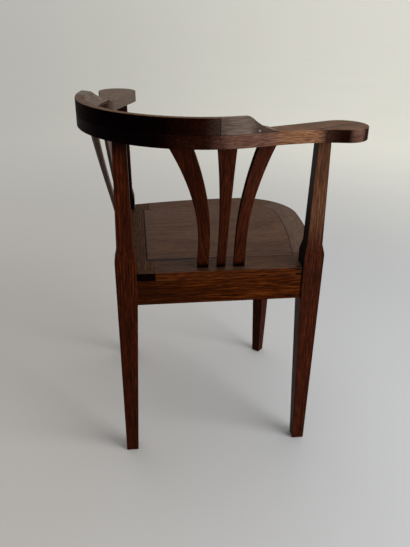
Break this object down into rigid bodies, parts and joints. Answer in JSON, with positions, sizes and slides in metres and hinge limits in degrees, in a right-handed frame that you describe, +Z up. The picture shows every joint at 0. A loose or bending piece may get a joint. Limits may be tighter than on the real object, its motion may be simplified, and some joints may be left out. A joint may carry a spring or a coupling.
{
  "type": "corner chair",
  "caption": "Wooden corner chair: square seat set on its corner with a round front, splat-fan back sides, and a curved arm bow with a raised crest and paddle ends.",
  "frame": {"origin": "on the floor, under the middle of the chair's box", "axes": "+Z up, the sitter faces -Y, +X is the sitter's left"},
  "size_m": [0.6778, 0.572, 0.7543],
  "materials": {
    "frame_oak": "dark stained oak, waxed",
    "seat_oak": "dark stained oak, worn wax",
    "bow_oak": "dark stained oak, polished by hands",
    "block_wood": "raw softwood, darkened",
    "dowel_wood": "raw beech",
    "screw_steel": "dull, lightly rusted steel"
  },
  "bodies": {
    "frame": {"apron_dowels": "dowel_wood", "arm_joint_dowels": "dowel_wood", "back_corner_block": "block_wood", "back_left_apron": "frame_oak", "back_left_seat_rail": "seat_oak", "back_post": "frame_oak", "back_right_apron": "frame_oak", "back_right_seat_rail": "seat_oak", "corner_block_screws": "screw_steel", "crest_joint_dowels": "dowel_wood", "crest_left_end": "bow_oak", "crest_middle": "bow_oak", "crest_right_end": "bow_oak", "crest_screws": "screw_steel", "front_corner_block": "block_wood", "front_left_apron": "frame_oak", "front_left_seat_rail": "seat_oak", "front_leg": "frame_oak", "front_right_apron": "frame_oak", "front_right_seat_rail": "seat_oak", "left_arm": "bow_oak", "left_corner_block": "block_wood", "left_post": "frame_oak", "left_slat_inner": "frame_oak", "left_slat_middle": "frame_oak", "left_slat_outer": "frame_oak", "right_arm": "bow_oak", "right_corner_block": "block_wood", "right_post": "frame_oak", "right_slat_inner": "frame_oak", "right_slat_middle": "frame_oak", "right_slat_outer": "frame_oak", "seat_frame_screws": "screw_steel", "seat_joint_dowels": "dowel_wood"},
    "seat_panel": {"seat_panel": "seat_oak"}
  },
  "joints": [
    {"name": "seat_panel_lift", "type": "slide", "parent": "frame", "child": "seat_panel", "axis": [0, 0, 1], "range_m": [0, 0.1]}
  ]
}
